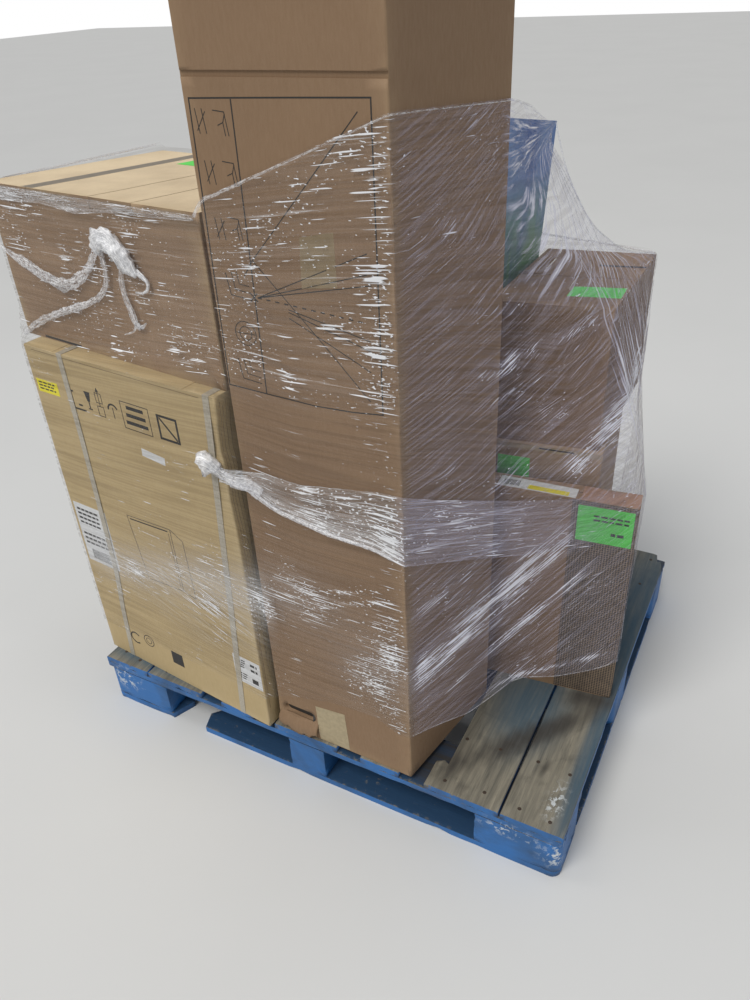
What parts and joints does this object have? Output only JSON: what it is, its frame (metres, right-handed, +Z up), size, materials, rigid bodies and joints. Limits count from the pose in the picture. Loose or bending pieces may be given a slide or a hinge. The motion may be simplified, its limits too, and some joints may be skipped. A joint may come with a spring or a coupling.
{
  "type": "shrink wrapped pallet load",
  "caption": "Block pallet stacked with cardboard cartons of mixed sizes, held together by clear stretch film.",
  "frame": {"origin": "on the floor under the middle of the pallet", "axes": "+X to the right along the pallet's long front edge, +Y to its back, +Z up"},
  "size_m": [1.278, 1.0302, 2.008],
  "materials": {
    "deck_wood": "bare weathered boards with worn blue paint",
    "painted_wood": "bright blue paint, worn",
    "strap_plastic": "milky translucent strap",
    "brown_board": "brown corrugated board",
    "tan_board": "tan corrugated board",
    "blue_board": "board printed blue",
    "stretch_film": "clear stretched film with bright pulled streaks"
  },
  "bodies": {
    "root": {"base_board_back": "painted_wood", "base_board_front": "painted_wood", "base_board_front_stub": "painted_wood", "base_board_left_back": "painted_wood", "base_board_left_front": "painted_wood", "base_board_middle": "painted_wood", "base_board_right_back": "painted_wood", "base_board_right_front": "painted_wood", "block_back_centre": "painted_wood", "block_back_left": "painted_wood", "block_back_right": "painted_wood", "block_front_centre": "painted_wood", "block_front_left": "painted_wood", "block_front_right": "painted_wood", "block_middle_centre": "painted_wood", "block_middle_left": "painted_wood", "block_middle_right": "painted_wood", "carton_blue": "blue_board", "carton_flat_top": "brown_board", "carton_heater": "tan_board", "carton_lower": "brown_board", "carton_slim": "brown_board", "carton_tall": "brown_board", "carton_upper": "brown_board", "deck_board_1": "deck_wood", "deck_board_2": "deck_wood", "deck_board_3": "deck_wood", "deck_board_4": "deck_wood", "deck_board_5": "deck_wood", "deck_board_6": "deck_wood", "deck_board_7": "deck_wood", "strap_left": "strap_plastic", "strap_right": "strap_plastic", "stretch_film": "stretch_film", "stringer_board_back": "painted_wood", "stringer_board_front": "painted_wood", "stringer_board_middle": "painted_wood"}
  },
  "joints": []
}
